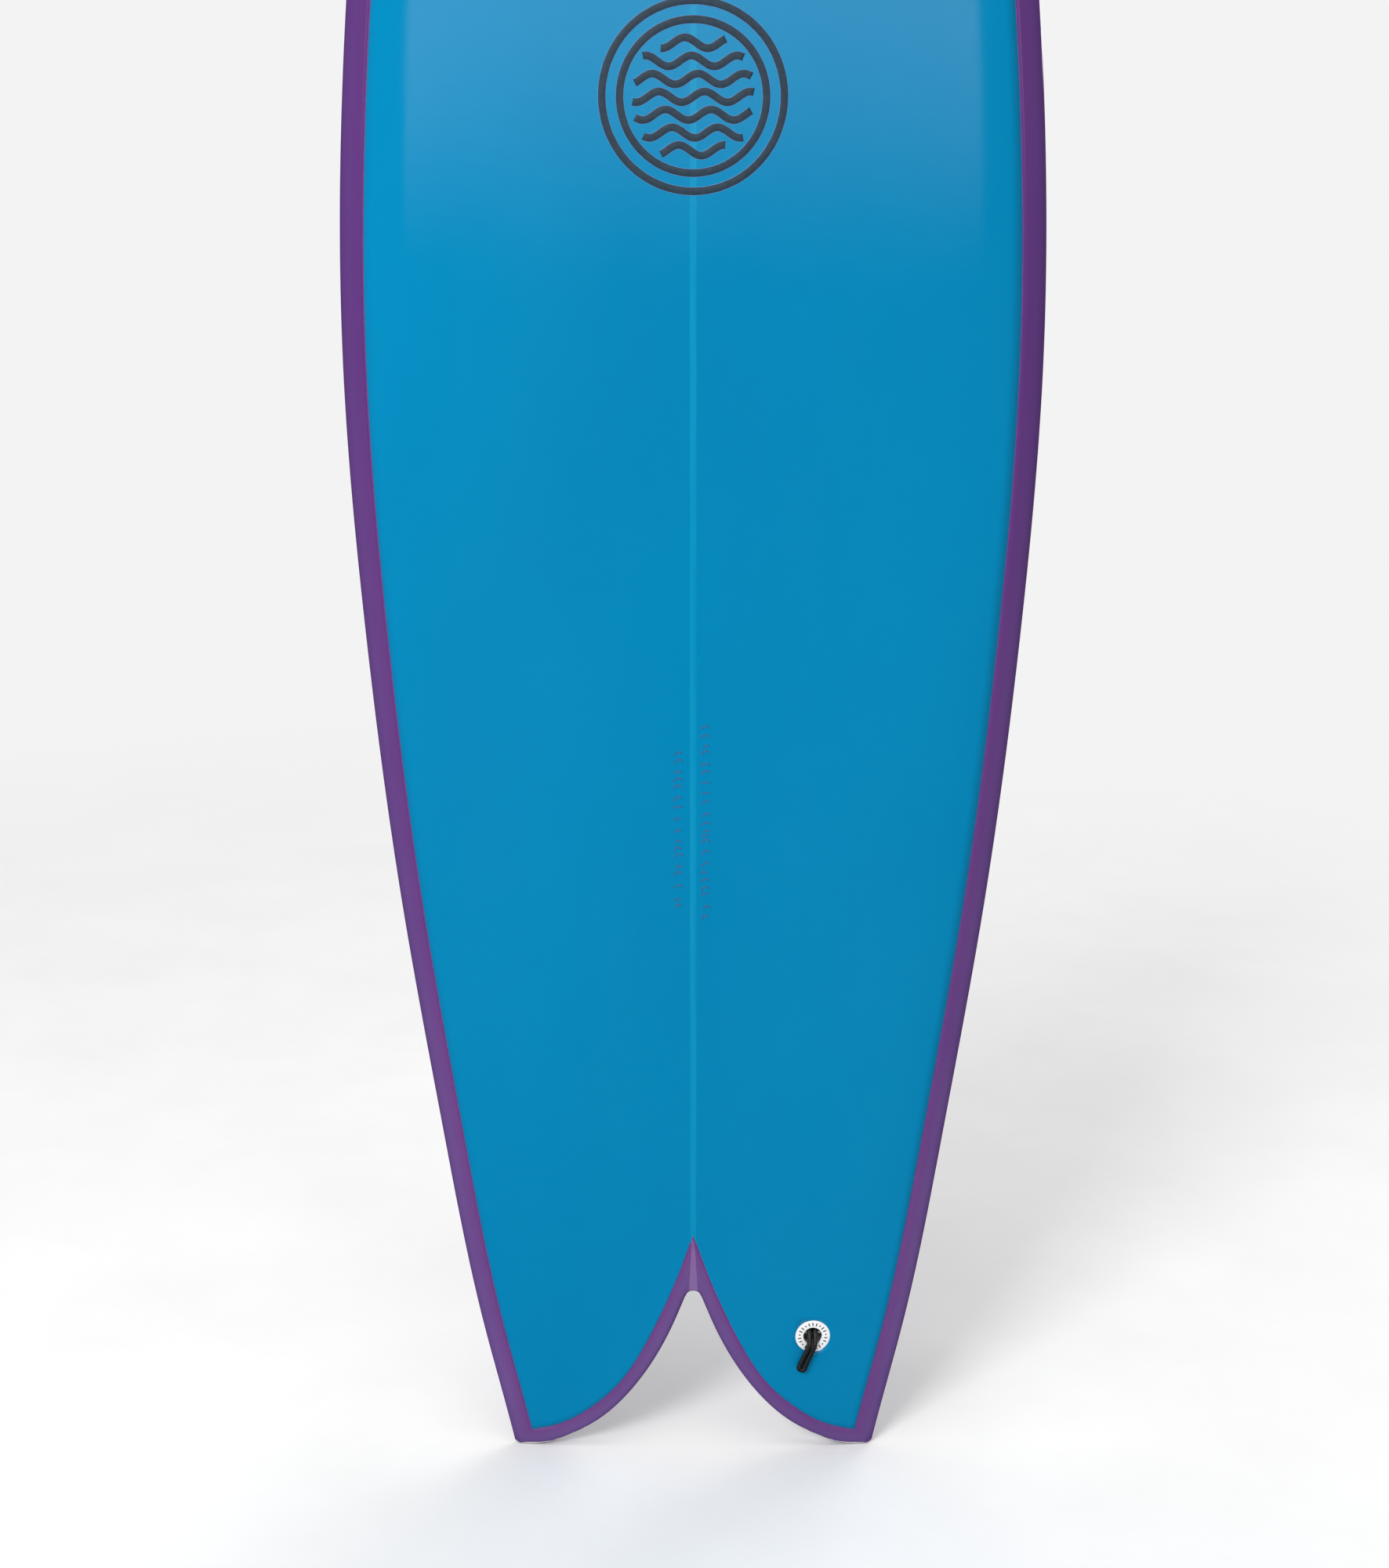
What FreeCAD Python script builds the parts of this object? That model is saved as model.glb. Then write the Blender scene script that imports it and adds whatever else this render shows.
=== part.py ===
"""A swallow-tail fish surfboard, standing upright on its two tail tips.

Row frame: +Z runs along the board from tail to nose, the deck faces -Y, the bottom and the fins face +Y, and
+X is to the right of someone who looks at the deck. The origin is under the middle of the bounding box, level
with the tail tips. All lengths are in millimetres.

Inside this script the board is first built in a shaping frame, whose y = 0 is the flat of the bottom at the
lowest point of the rocker. The last step moves everything along Y so that the box is centred.
"""
import FreeCAD, Part
import math
import os

V = FreeCAD.Vector

# ---------------------------------------------------------------- driving dimensions
LENGTH = 1651.0             # 5 ft 5 in
WIDTH = 517.5               # 20 3/8 in
THICKNESS = 61.9            # 2 7/16 in
LAMINATE = 1.0              # cured glass and resin
STRINGER = 4.8              # 3/16 in ply
TIP_THICKNESS = 15.0        # at the nose and at the tail tips
NOSE_ROCKER = 114.0
TAIL_ROCKER = 42.0
ROCKER_CENTRE = 790.0       # height above the tail tips where the bottom is lowest
FOIL_CENTRE = 850.0         # height of the thickest section
DECK_SHARE = 0.6            # share of the thickness above the rail's apex
DECK_CROWN = 2.25           # superellipse exponents of the section's two halves
BOTTOM_CROWN = 3.2
NOSE_ROUND = 10.0           # the nose tip's edge is rounded over this length
NOSE_FLAT = 0.6             # the rounding stops this short of a point

# Half outline: half-width and height, tail to nose.
OUTLINE = (
    (141.4, -30.0), (147.6, 0.0), (172.5, 107.0), (201.2, 272.0), (229.3, 468.0), (250.4, 691.0),
    (WIDTH / 2, 885.0), (248.6, 1099.0), (227.0, 1260.0), (195.5, 1385.0), (154.5, 1485.0),
    (106.5, 1565.0), (63.3, 1615.0), (30.8, 1641.0), (0.0, LENGTH + NOSE_FLAT),
)
# Tail edge from the outer tip to the top of the swallow notch, then an arc over the centre line.
TIP_ARC = ((150.2, 8.0), (147.7, 2.1), (141.0, 0.0))
NOTCH = ((141.0, 0.0), (120.5, 2.3), (105.0, 8.3), (78.6, 23.8), (55.9, 45.6), (35.2, 74.6), (19.9, 103.7),
         (6.2, 138.0))
NOTCH_CENTRE = 135.0
NOTCH_RADIUS = 7.0

# Cut-lap line on the deck: distance in from the rail at the tail and at the wide point, and the tail stretch
# from the corner in the tip to the point of the V on the stringer.
LAP_TAIL = 16.5
LAP_WIDE = 19.0
LAP_NOTCH = ((133.5, 13.5), (106.6, 21.6), (84.8, 35.2), (60.5, 58.6), (40.7, 90.2), (25.0, 123.9),
             (11.3, 158.2), (0.0, 192.5))

# Leash plug, set into the deck of the right lobe.
PLUG_X, PLUG_Z = 97.5, 101.0
PLUG_RADIUS = 14.3
PLUG_DEPTH = 18.5
PLUG_MOUTH = 7.5
PLUG_LIP = 4.0              # depth of the narrow mouth before the cavity widens
PLUG_CAVITY = 9.0
PLUG_FLOOR = 16.6
PLUG_PROUD = 0.3
PIN_RADIUS = 1.8
PIN_DEPTH = 7.0
PIN_SEAT = 1.6              # how far each end of the pin goes into the cup's wall

# Leash string: one cord that is tied behind the pin, goes round it and hangs down the deck as a loop.
# Its points are (across, up, out) from the middle of the cup's mouth.
CORD = 4.2
CORD_ROUTE = (
    (-2.3, -4.6, -11.9), (-2.3, 4.4, -11.9), (-2.3, 4.4, -2.4), (-2.7, -5.6, 3.6), (-5.5, -11.9, 3.7),
    (-7.7, -17.4, 3.4), (-10.2, -23.2, 3.2), (-11.8, -27.9, 3.1),
    (-7.0, -29.5, 3.1), (-5.4, -23.6, 3.2), (-2.9, -17.4, 3.4), (-0.7, -11.8, 3.7), (2.0, -5.4, 3.6),
    (2.3, 4.4, -2.4), (2.3, 4.4, -11.9), (2.3, -4.6, -11.9),
)
KNOT_RADIUS = 3.9
KNOT = (0.0, -4.7, -12.3)

# Twin keel fins, each in two plugs.
FIN_X, FIN_Z = 142.0, 212.0  # middle of a fin's base
FIN_BASE = 168.0
FIN_DEPTH = 135.0
FIN_THICKNESS = 8.0
FIN_CANT = 3.0              # degrees that the blade leans out from its plugs
FIN_TOE = 1.0               # degrees that the front of the fin points to the stringer
FIN_GAP = 0.9               # between the blade's base and the board
FIN_SWEEP = 128.0           # how far its leading edge has swept back at the tip
FIN_BULGE = 4.0             # how far its trailing edge bulges at half depth
FIN_HOOK = 18.0             # how far its trailing edge has swept back at the tip
FIN_EDGE = 0.9              # radius of the leading and trailing edges
FIN_ROUNDING = 0.12         # share of the depth over which the tip is rounded
FIN_FLAT = 3.0              # how much of the blade's tip is squared off
FLOOR_LEAN = 6.2            # degrees that the floor leans from the deck's plane when the board lies on its fins
TAB = (22.0, 6.2, 12.8)     # length, thickness and depth
TAB_SPACING = 90.0
SLOT = (22.6, 6.6, 13.6)
FIN_PLUG_RADIUS = 15.5
FIN_PLUG_DEPTH = 18.5
SCREW_RADIUS = 2.4
SCREW_HOLE = 2.45
SCREW_LENGTH = 8.6
SCREW_ANGLE = 40.0          # between the screw's axis and the plug's
SCREW_TIP = (3.7, -8.6)     # the screw's point: beside the tab, and under the plug's face
SCREW_SOCKET = 1.25         # inner radius of its hexagon socket
SOCKET_DEPTH = 2.5

STATIONS = (-25, 0, 45, 95, 150, 215, 290, 375, 470, 575, 690, 800, 905, 1005, 1100, 1190, 1275, 1355, 1425,
            1485, 1535, 1577, 1608, 1629, 1641, 1647.5, 1650.3, LENGTH)
SECTION_POINTS = 17
FAR = 900.0


# ---------------------------------------------------------------- board shape
def spline(points, start=None, end=None):
    curve = Part.BSplineCurve()
    if start and end:
        curve.interpolate(Points=points, InitialTangent=start, FinalTangent=end)
    else:
        curve.interpolate(points)
    return curve


outline = spline([V(x, 0, z) for x, z in OUTLINE], V(6, 0, 30), V(-30, 0, 0))


def outline_parameter(height):
    low, high = outline.FirstParameter, outline.LastParameter
    for _ in range(60):
        middle = (low + high) / 2
        if outline.value(middle).z < height:
            low = middle
        else:
            high = middle
    return (low + high) / 2


def offset_point(curve, u, distance):
    """The point at u, moved to the left of the curve's direction in the XZ plane."""
    along = curve.tangent(u)[0]
    return curve.value(u) + V(-along.z, 0, along.x) * distance


def rocker(height):
    nose = max(0.0, (height - ROCKER_CENTRE) / (LENGTH - ROCKER_CENTRE))
    tail = max(0.0, (ROCKER_CENTRE - height) / ROCKER_CENTRE)
    return NOSE_ROCKER * (0.3 * nose ** 2 + 0.7 * nose ** 3.2) + TAIL_ROCKER * (0.55 * tail ** 2 + 0.45 * tail ** 3)


def thickness(height):
    nose = max(0.0, (height - FOIL_CENTRE) / (LENGTH - FOIL_CENTRE))
    tail = max(0.0, (FOIL_CENTRE - height) / FOIL_CENTRE)
    full = THICKNESS - (THICKNESS - TIP_THICKNESS) * (nose ** 2.6 + tail ** 2.4)
    to_tip = min(1.0, (LENGTH + NOSE_FLAT - height) / NOSE_ROUND)
    return full * math.sqrt(1 - (1 - to_tip) ** 2)


def half_section(half_width, apex, rise, power, height):
    """Points of a superellipse from the right rail over the crown to the left rail."""
    points = []
    for i in range(SECTION_POINTS):
        angle = math.pi * i / (SECTION_POINTS - 1)
        c, s = math.cos(angle), math.sin(angle)
        reach = (abs(c) ** power + abs(s) ** power) ** (-1 / power)
        points.append(V(half_width * c * reach, apex + rise * s * reach, height))
    return points


def rail_apex(height):
    return -rocker(height) - (1 - DECK_SHARE) * thickness(height)


def board(inset):
    """The shaped board with every surface moved in by inset, before the tail is cut."""
    grid = []
    for height in STATIONS:
        edge = offset_point(outline, outline_parameter(height), inset)
        rise = DECK_SHARE * thickness(height) - inset
        drop = (1 - DECK_SHARE) * thickness(height) - inset
        deck = half_section(edge.x, rail_apex(height), -rise, DECK_CROWN, edge.z)
        bottom = half_section(edge.x, rail_apex(height), drop, BOTTOM_CROWN, edge.z)
        grid.append(deck + bottom[-2::-1])
    surface = Part.BSplineSurface()
    surface.interpolate(grid)
    first, last = surface.bounds()[:2]
    ends = [Part.Face(Part.Wire(surface.uIso(u).toShape())) for u in (first, last)]
    return Part.makeSolid(Part.Shell([surface.toShape()] + ends))


def mirrored_x(shape):
    return shape.mirror(V(0, 0, 0), V(1, 0, 0))


def tail_cut(inset):
    """The prism that is cut away: everything under the tips and inside the notch, grown by inset."""
    notch = spline([V(x, 0, z) for x, z in NOTCH])
    steps = 2 * len(NOTCH)
    span = notch.LastParameter - notch.FirstParameter
    moved = [offset_point(notch, notch.FirstParameter + span * i / steps, -inset) for i in range(steps + 1)]
    start, middle = [V(x, 0, z) for x, z in TIP_ARC[:2]]
    start += V(0, 0, inset)
    middle += V(-inset, 0, inset) * math.sqrt(0.5)
    top = V(0, 0, NOTCH_CENTRE + NOTCH_RADIUS + inset)
    right = [Part.Arc(start, middle, moved[0]).toShape(), spline(moved).toShape()]
    edges = right + [Part.Arc(moved[-1], top, V(-moved[-1].x, 0, moved[-1].z)).toShape()]
    edges += [mirrored_x(edge) for edge in right]
    below = [V(-start.x, 0, start.z), V(-FAR, 0, start.z), V(-FAR, 0, -FAR), V(FAR, 0, -FAR),
             V(FAR, 0, start.z), start]
    edges += Part.makePolygon(below).Edges
    face = Part.Face(Part.Wire(Part.__sortEdges__(edges)))
    face.translate(V(0, -FAR, 0))
    return face.extrude(V(0, 2 * FAR, 0))


# ---------------------------------------------------------------- places on the board
def surface_point(x, height, deck_side):
    share = DECK_SHARE if deck_side else 1 - DECK_SHARE
    power = DECK_CROWN if deck_side else BOTTOM_CROWN
    half_width = outline.value(outline_parameter(height)).x
    rise = share * thickness(height) * (1 - (abs(x) / half_width) ** power) ** (1 / power)
    return V(x, rail_apex(height) + (-rise if deck_side else rise), height)


def surface_frame(x, height, deck_side):
    """A placement whose local x, y and z run across the board, up it and out of it."""
    step = 1.0
    along = surface_point(x, height + step, deck_side) - surface_point(x, height - step, deck_side)
    sideways = surface_point(x + step, height, deck_side) - surface_point(x - step, height, deck_side)
    out = sideways.cross(along) if deck_side else along.cross(sideways)
    out.normalize()
    up = along - out * along.dot(out)
    up.normalize()
    across = up.cross(out)
    rotation = FreeCAD.Rotation(across, up, out, "ZXY")
    return FreeCAD.Placement(surface_point(x, height, deck_side), rotation)


def placed(shape, frame):
    moved = shape.copy()
    moved.Placement = frame
    return moved


def cylinder(radius, bottom, top):
    """A cylinder about the local z axis between two levels."""
    return Part.makeCylinder(radius, top - bottom, V(0, 0, bottom))


def centred_box(size, top):
    """A box about the local z axis, hanging down from top. size is across, up and deep."""
    across, up, deep = size
    return Part.makeBox(across, up, deep, V(-across / 2, -up / 2, top - deep))


# ---------------------------------------------------------------- glass, foam and stringer
def lap_outline():
    """The deck laminate's outline: along the cut-lap line on both rails and round the notch."""
    inner = []
    low = outline_parameter(LAP_NOTCH[0][1])
    high = outline.LastParameter
    steps = 24
    for i in range(steps + 1):
        u = low + (high - low) * i / steps
        share = min(1.0, outline.value(u).z / FOIL_CENTRE)
        inner.append(offset_point(outline, u, LAP_TAIL + (LAP_WIDE - LAP_TAIL) * share))
    inner[0] = V(LAP_NOTCH[0][0], 0, LAP_NOTCH[0][1])
    inner[-1] = V(0, 0, inner[-1].z)
    rail = spline(inner, V(0.1, 0, 1), V(-1, 0, 0)).toShape()
    notch = spline([V(x, 0, z) for x, z in LAP_NOTCH]).toShape()
    edges = [rail, notch, mirrored_x(rail), mirrored_x(notch)]
    return Part.Wire(Part.__sortEdges__(edges))


def laminates(outer, core):
    """The glass shell, cut along the lap line into the deck's inlay and the wrapped bottom."""
    shell = outer.cut(core)
    face = Part.Face(lap_outline())
    face.translate(V(0, -FAR, 0))
    through = shell.common(face.extrude(V(0, 2 * FAR, 0)))
    deck = min(through.Solids, key=lambda solid: solid.CenterOfMass.y)
    return deck, shell.cut(deck)


def blank(core):
    """The two foam halves and the stringer glued between them."""
    slab = Part.makeBox(STRINGER, 2 * FAR, 3 * FAR, V(-STRINGER / 2, -FAR, -FAR))
    halves = core.cut(slab).Solids
    left = min(halves, key=lambda solid: solid.CenterOfMass.x)
    right = max(halves, key=lambda solid: solid.CenterOfMass.x)
    return left, right, core.common(slab).Solids[0]


# ---------------------------------------------------------------- leash plug and string
def leash_plug():
    """The cup, its pin and its outer envelope, about the local z axis."""
    floor = PLUG_PROUD - PLUG_DEPTH
    envelope = cylinder(PLUG_RADIUS, floor, PLUG_PROUD)
    mouth = cylinder(PLUG_MOUTH, -PLUG_LIP - 1, PLUG_PROUD + 1)
    cavity = cylinder(PLUG_CAVITY, -PLUG_FLOOR, -PLUG_LIP)
    pin_length = 2 * (PLUG_CAVITY + PIN_SEAT)
    pin = Part.makeCylinder(PIN_RADIUS, pin_length, V(-pin_length / 2, 0, -PIN_DEPTH), V(1, 0, 0))
    cup = envelope.cut(mouth).cut(cavity).cut(pin)
    return cup, pin, envelope


def cord_tube(points, diameter):
    """A tube along straight runs joined by tangent arcs, and the length of its middle line."""
    edges = []
    here = points[0]
    radii = []
    for before, corner, after in zip(points, points[1:], points[2:]):
        back, ahead = before - corner, after - corner
        shorter = min(back.Length, ahead.Length)
        turn = math.pi - back.getAngle(ahead)
        reach = 0.45 * shorter
        radii.append(reach / math.tan(turn / 2))
        back.normalize()
        ahead.normalize()
        start, end = corner + back * reach, corner + ahead * reach
        inward = back + ahead
        inward.normalize()
        middle = corner + inward * (radii[-1] / math.cos(turn / 2) - radii[-1])
        edges += [Part.LineSegment(here, start).toShape(), Part.Arc(start, middle, end).toShape()]
        here = end
    edges.append(Part.LineSegment(here, points[-1]).toShape())
    path = Part.Wire(edges)
    ring = Part.Wire(Part.makeCircle(diameter / 2, points[0], points[1] - points[0]))
    tube = path.makePipeShell([ring], True, True)
    expected = path.Length * math.pi * diameter ** 2 / 4
    print("cord length", round(path.Length, 1), "volume ratio", round(tube.Volume / expected, 4))
    print("cord radii", [round(r, 1) for r in radii])
    return tube


# ---------------------------------------------------------------- fins and their plugs
def fin_plug():
    """A plug, its outer envelope and its grub screw. Local x points to the stringer, y to the nose."""
    envelope = cylinder(FIN_PLUG_RADIUS, PLUG_PROUD - FIN_PLUG_DEPTH, PLUG_PROUD)
    length, width, depth = SLOT
    slot = centred_box((width, length, depth + 1), PLUG_PROUD + 1)
    angle = math.radians(SCREW_ANGLE)
    axis = V(math.sin(angle), 0, math.cos(angle))
    tip = V(SCREW_TIP[0], 0, SCREW_TIP[1])
    hole = Part.makeCylinder(SCREW_HOLE, 2 * FIN_PLUG_DEPTH, tip - axis, axis)
    body = envelope.cut(slot).cut(hole)
    point = Part.makeCone(0, SCREW_RADIUS, SCREW_RADIUS, tip, axis)
    shank = Part.makeCylinder(SCREW_RADIUS, SCREW_LENGTH - SCREW_RADIUS, tip + axis * SCREW_RADIUS, axis)
    corners = [V(SCREW_SOCKET * math.cos(math.radians(60 * i)), SCREW_SOCKET * math.sin(math.radians(60 * i)), 0)
               for i in range(7)]
    socket = Part.Face(Part.makePolygon(corners)).extrude(V(0, 0, 2 * SOCKET_DEPTH))
    start = tip + axis * (SCREW_LENGTH - SOCKET_DEPTH)
    socket.Placement = FreeCAD.Placement(start, FreeCAD.Rotation(V(0, 0, 1), axis))
    screw = point.fuse(shank).cut(socket).removeSplitter()
    return body, envelope, screw, tip, axis


def fin_section(share):
    """One closed section of the blade, share of the way from its base to its tip."""
    closing = max(0.0, (share - 1 + FIN_ROUNDING) / FIN_ROUNDING)
    rounding = math.sqrt(max(1 - closing ** 2, 0.02))
    front = FIN_BASE / 2 - FIN_SWEEP * share ** 1.7
    rear = -FIN_BASE / 2 + FIN_BULGE * math.sin(math.pi * share) - FIN_HOOK * share ** 2.5
    middle, half_chord = (front + rear) / 2, (front - rear) / 2 * rounding
    full = FIN_THICKNESS * (1 - 0.5 * share) * rounding ** 0.5
    flat = TAB[1] / 2 - FIN_EDGE * share
    edge = FIN_EDGE * rounding
    count = 9
    curve = []
    for i in range(count):
        c = (1 - math.cos(math.pi * i / (count - 1))) / 2
        # The foil's swell is 1 at its thickest, two fifths of the chord from the leading edge.
        swell = c ** 0.6 * (1 - c) ** 0.9 / 0.364
        curve.append(V(flat - edge - (full - edge) * swell, middle + half_chord * (1 - 2 * c), FIN_DEPTH * share))
    front_flat, rear_flat = V(flat, curve[0].y, curve[0].z), V(flat, curve[-1].y, curve[-1].z)
    return Part.Wire([Part.LineSegment(front_flat, curve[0]).toShape(), spline(curve).toShape(),
                      Part.LineSegment(curve[-1], rear_flat).toShape(),
                      Part.LineSegment(rear_flat, front_flat).toShape()])


def fin():
    """A keel with two tabs. Local x points to the stringer, y to the nose and z out of the board."""
    shares = (0, 0.12, 0.25, 0.38, 0.5, 0.62, 0.74, 0.84, 0.9, 0.94, 0.97, 0.99, 1.0)
    blade = Part.makeLoft([fin_section(share) for share in shares], True, False)
    blade.rotate(V(0, 0, 0), V(0, 1, 0), -FIN_CANT)
    blade.translate(V(0, 0, FIN_GAP))
    length, width, depth = TAB
    shape = blade
    for place in (-TAB_SPACING / 2, TAB_SPACING / 2):
        tab = centred_box((width, length, depth + FIN_GAP + 1.0), FIN_GAP + 1.0)
        tab.translate(V(0, place, 0))
        shape = shape.fuse(tab)
    return shape.removeSplitter()


def squared_tip(blade):
    """The placed fin with its tip cut flat, so that the board lies steadily on both of them."""
    lean = math.radians(FLOOR_LEAN)
    normal = V(0, math.cos(lean), math.sin(lean))
    reach = max(point.dot(normal) for point in blade.tessellate(0.1)[0]) - FIN_FLAT
    beyond = Part.makeBox(2 * FAR, 2 * FAR, FAR, V(-FAR, -FAR, 0))
    beyond.Placement = FreeCAD.Placement(normal * reach, FreeCAD.Rotation(V(0, 0, 1), normal))
    return blade.cut(beyond)


# ---------------------------------------------------------------- assembly
def build():
    core = board(LAMINATE).cut(tail_cut(LAMINATE))
    deck_laminate, bottom_laminate = laminates(board(0).cut(tail_cut(0)), core)
    foam_left, foam_right, stringer = blank(core)
    nodes = {"stringer": stringer}

    plug_frame = surface_frame(PLUG_X, PLUG_Z, True)
    cup, pin, cup_envelope = leash_plug()
    cup_envelope = placed(cup_envelope, plug_frame)
    nodes["leash_plug_cup"] = placed(cup, plug_frame)
    nodes["leash_plug_pin"] = placed(pin, plug_frame)
    route = [plug_frame.multVec(V(*point)) for point in CORD_ROUTE]
    nodes["leash_string"] = cord_tube(route, CORD)
    nodes["leash_string_knot"] = Part.makeSphere(KNOT_RADIUS, plug_frame.multVec(V(*KNOT)))
    deck_laminate = deck_laminate.cut(cup_envelope)
    foam_right = foam_right.cut(cup_envelope)

    fin_frame = surface_frame(FIN_X, FIN_Z, False)
    toe = FreeCAD.Placement(V(0, 0, 0), FreeCAD.Rotation(V(0, 0, 1), -FIN_TOE))
    fin_frame = fin_frame.multiply(toe)
    body, envelope, screw, tip, axis = fin_plug()
    sides = {"right": lambda shape: shape, "left": mirrored_x}
    joints = {"fin": (V(0, 0, 0), fin_frame.Rotation.multVec(V(0, 0, 1)))}
    for end, place in (("rear", -TAB_SPACING / 2), ("front", TAB_SPACING / 2)):
        frame = fin_frame.multiply(FreeCAD.Placement(V(0, place, 0), FreeCAD.Rotation()))
        joints["screw_" + end] = (frame.multVec(tip), frame.Rotation.multVec(axis))
        for side, turned in sides.items():
            hole = turned(placed(envelope, frame))
            nodes[f"fin_plug_{side}_{end}"] = turned(placed(body, frame))
            nodes[f"fin_screw_{side}_{end}"] = turned(placed(screw, frame))
            bottom_laminate = bottom_laminate.cut(hole)
            if side == "right":
                foam_right = foam_right.cut(hole)
            else:
                foam_left = foam_left.cut(hole)
    blade = squared_tip(placed(fin(), fin_frame))
    for side, turned in sides.items():
        nodes[f"fin_{side}"] = turned(blade)
    nodes.update(foam_blank_left=foam_left, foam_blank_right=foam_right, deck_laminate=deck_laminate,
                 bottom_laminate=bottom_laminate)
    return nodes, joints, plug_frame


def box_centring(shapes):
    """The move that puts the origin under the middle of the shapes' common box."""
    boxes = [shape.optimalBoundingBox(True, False) for shape in shapes]
    middle = (min(box.YMin for box in boxes) + max(box.YMax for box in boxes)) / 2
    return V(0, -middle, -min(box.ZMin for box in boxes))


def row_metres(vector):
    return [round(c / 1000, 6) for c in vector]


def main():
    nodes, joints, plug_frame = build()
    shift = box_centring([shape for name, shape in nodes.items() if not name.startswith("leash_string")])
    os.makedirs("parts", exist_ok=True)
    for name, shape in nodes.items():
        shape.translate(shift)
        shape.exportStep(f"parts/{name}.step")
        print(f"{name:24s} valid {shape.isValid()} solids {len(shape.Solids)} cm3 {shape.Volume / 1000:.2f}")
    for name, (place, direction) in joints.items():
        print("joint", name, row_metres(place + shift), [round(c, 6) for c in direction])
    plug_frame.move(shift)
    loop = plug_frame.multVec(V(*CORD_ROUTE[7]))
    print("leash plug", row_metres(plug_frame.Base), "loop", row_metres(loop), "shift", row_metres(shift))


main()
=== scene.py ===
"""Looks of the swallow-tail fish surfboard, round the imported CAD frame.

Lengths are in metres in the row's frame, except where a list is multiplied by MM. +Z runs from the tail tips
to the nose, the deck faces -Y, the bottom and the fins face +Y, and +X is to the right of the deck.
"""
import math

import bmesh
import bpy
import numpy as np
from mathutils import Matrix, Vector


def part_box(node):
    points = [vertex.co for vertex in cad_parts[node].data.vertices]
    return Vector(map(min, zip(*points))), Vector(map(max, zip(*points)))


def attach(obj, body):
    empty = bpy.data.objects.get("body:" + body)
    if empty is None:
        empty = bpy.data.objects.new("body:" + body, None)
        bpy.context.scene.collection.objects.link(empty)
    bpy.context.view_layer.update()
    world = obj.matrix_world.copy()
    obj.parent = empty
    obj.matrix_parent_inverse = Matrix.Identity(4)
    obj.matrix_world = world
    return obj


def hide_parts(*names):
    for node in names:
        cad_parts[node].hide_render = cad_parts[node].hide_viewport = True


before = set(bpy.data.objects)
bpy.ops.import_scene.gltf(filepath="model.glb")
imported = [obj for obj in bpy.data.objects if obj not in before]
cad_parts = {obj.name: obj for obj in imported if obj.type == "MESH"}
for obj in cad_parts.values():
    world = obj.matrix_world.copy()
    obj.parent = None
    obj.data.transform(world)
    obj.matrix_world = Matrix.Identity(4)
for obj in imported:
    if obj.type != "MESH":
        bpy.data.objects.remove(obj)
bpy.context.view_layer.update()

# ---------------------------------------------------------------- board shape
MM = 0.001
LENGTH, THICKNESS, TIP_THICKNESS = 1.651, 0.0619, 0.015
NOSE_ROCKER, TAIL_ROCKER, ROCKER_CENTRE, FOIL_CENTRE = 0.114, 0.042, 0.790, 0.850
DECK_SHARE, DECK_CROWN, BOTTOM_CROWN = 0.6, 2.25, 3.2
NOSE_ROUND = 0.010
LAMINATE, STRINGER = 0.001, 0.0048
BASE_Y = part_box("bottom_laminate")[1][1]    # the flat of the bottom at the lowest point of the rocker
RISE = 0.00017      # the tail tips dip this far under the outline's own zero
OUTLINE = (
    (141.4, -30.0), (147.6, 0.0), (172.5, 107.0), (201.2, 272.0), (229.3, 468.0), (250.4, 691.0),
    (258.75, 885.0), (248.6, 1099.0), (227.0, 1260.0), (195.5, 1385.0), (154.5, 1485.0),
    (106.5, 1565.0), (63.3, 1615.0), (30.8, 1641.0), (0.0, 1651.6),
)
NOTCH = ((6.2, 138.0), (19.9, 103.7), (35.2, 74.6), (55.9, 45.6), (78.6, 23.8), (105.0, 8.3), (120.5, 2.3),
         (141.0, 0.0))
NOTCH_CENTRE, NOTCH_RADIUS = 0.135, 0.007
TIP_ARC = ((0.141, 0.0), (0.1477, 0.0021), (0.1502, 0.008))
LAP_NOTCH = (
    (0.0, 192.5), (11.3, 158.2), (25.0, 123.9), (40.7, 90.2), (60.5, 58.6), (84.8, 35.2), (106.6, 21.6),
    (133.5, 13.5),
)
LAP_TAIL, LAP_WIDE = 0.0165, 0.019
ROLL_DECK, ROLL_BOTTOM = 0.0032, 0.002              # radii of the tail's rolled edges, and the most of the
DECK_ROLL_SHARE, BOTTOM_ROLL_SHARE = 0.42, 0.3      # wall's height that each may take


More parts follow.
